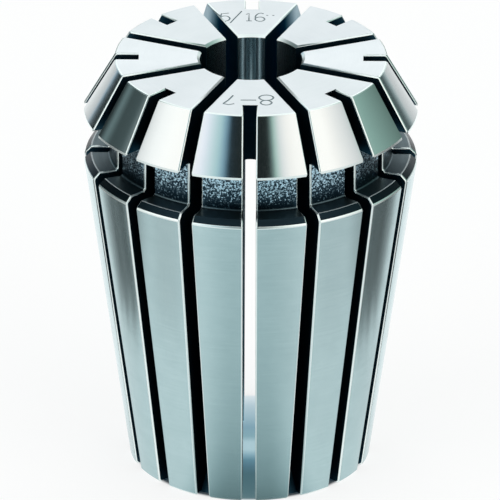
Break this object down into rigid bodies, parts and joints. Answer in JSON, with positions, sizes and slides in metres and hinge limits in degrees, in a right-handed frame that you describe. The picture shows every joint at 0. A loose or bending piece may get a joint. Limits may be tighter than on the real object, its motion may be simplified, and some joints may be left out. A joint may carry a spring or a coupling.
{
  "type": "er collet",
  "caption": "Slotted steel spring collet with a shallow seat cone, extraction groove and steep nose cone, for gripping a round tool shank.",
  "frame": {"origin": "centre of the rear end, in the plane that the collet stands on", "axes": "+Z along the bore axis, from the small rear end to the front face; one rear slot is centred on each of +X, +Y, -X and -Y"},
  "size_m": [0.026, 0.026, 0.034],
  "materials": {
    "collet": "ground and polished"
  },
  "bodies": {
    "root": {"collet": "collet"}
  },
  "joints": []
}
